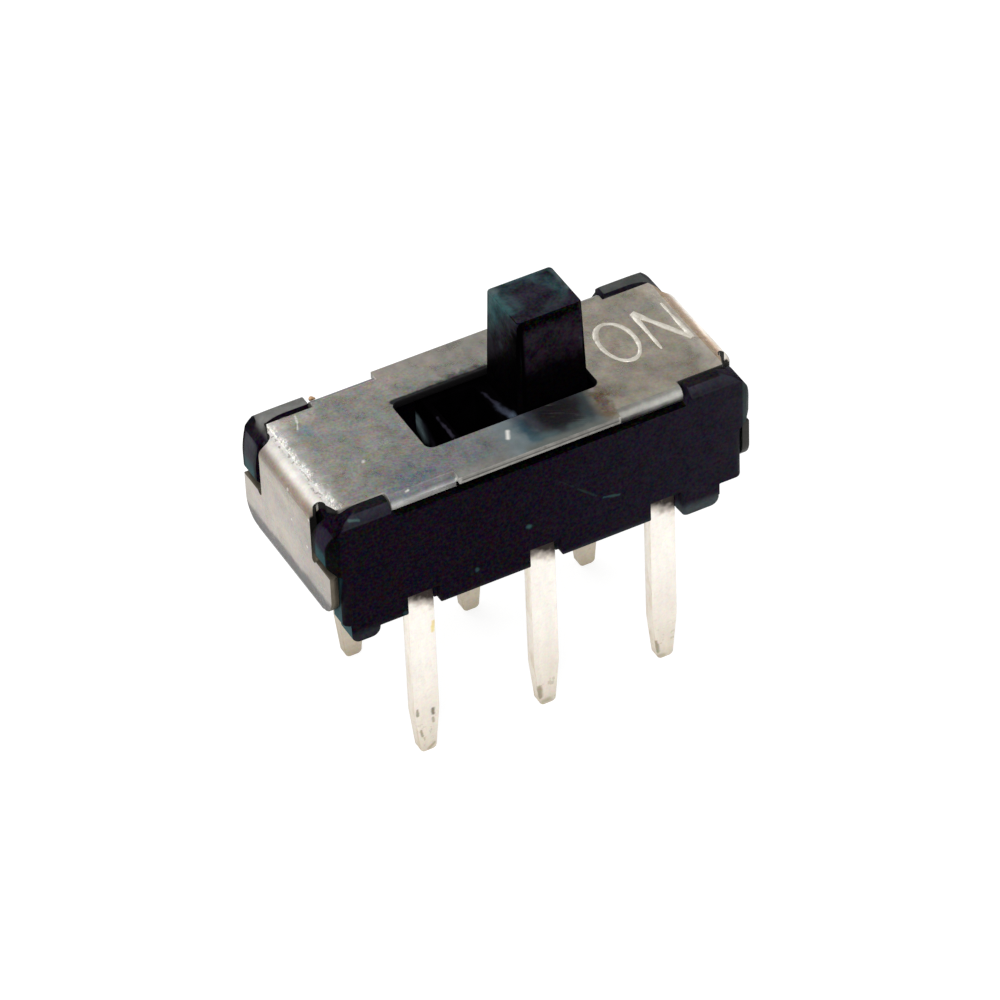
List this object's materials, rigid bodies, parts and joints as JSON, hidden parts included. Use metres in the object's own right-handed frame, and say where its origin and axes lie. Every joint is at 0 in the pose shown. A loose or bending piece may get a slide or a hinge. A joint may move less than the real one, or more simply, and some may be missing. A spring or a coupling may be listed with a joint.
{
  "type": "slide switch",
  "caption": "Small slide switch for a circuit board: a sheet cover folded over a black moulded housing, a tall sliding knob in a window, and rows of straight terminals.",
  "frame": {"origin": "centre of the terminal pattern, on the board surface that the housing's feet stand on", "axes": "+X along the knob's travel, +Y across the two rows of terminals, +Z away from the board"},
  "size_m": [0.0086, 0.0036, 0.0082],
  "materials": {
    "cover_metal": "thin rolled sheet with a dull tin plating, lightly stained and marked",
    "housing_plastic": "moulded, fine matte grain",
    "slider_plastic": "moulded, satin",
    "clip_metal": "bright spring strip",
    "terminal_metal": "tin plated, satin"
  },
  "bodies": {
    "switch_body": {"cover": "cover_metal", "housing": "housing_plastic", "terminal_front_left": "terminal_metal", "terminal_front_middle": "terminal_metal", "terminal_front_right": "terminal_metal", "terminal_rear_left": "terminal_metal", "terminal_rear_middle": "terminal_metal", "terminal_rear_right": "terminal_metal"},
    "sliding_contact": {"slider": "slider_plastic", "contact_clip_front": "clip_metal", "contact_clip_rear": "clip_metal"}
  },
  "joints": [
    {"name": "knob_slide", "type": "slide", "parent": "switch_body", "child": "sliding_contact", "axis": [1, 0, 0], "range_m": [-0.00173, 0]}
  ]
}
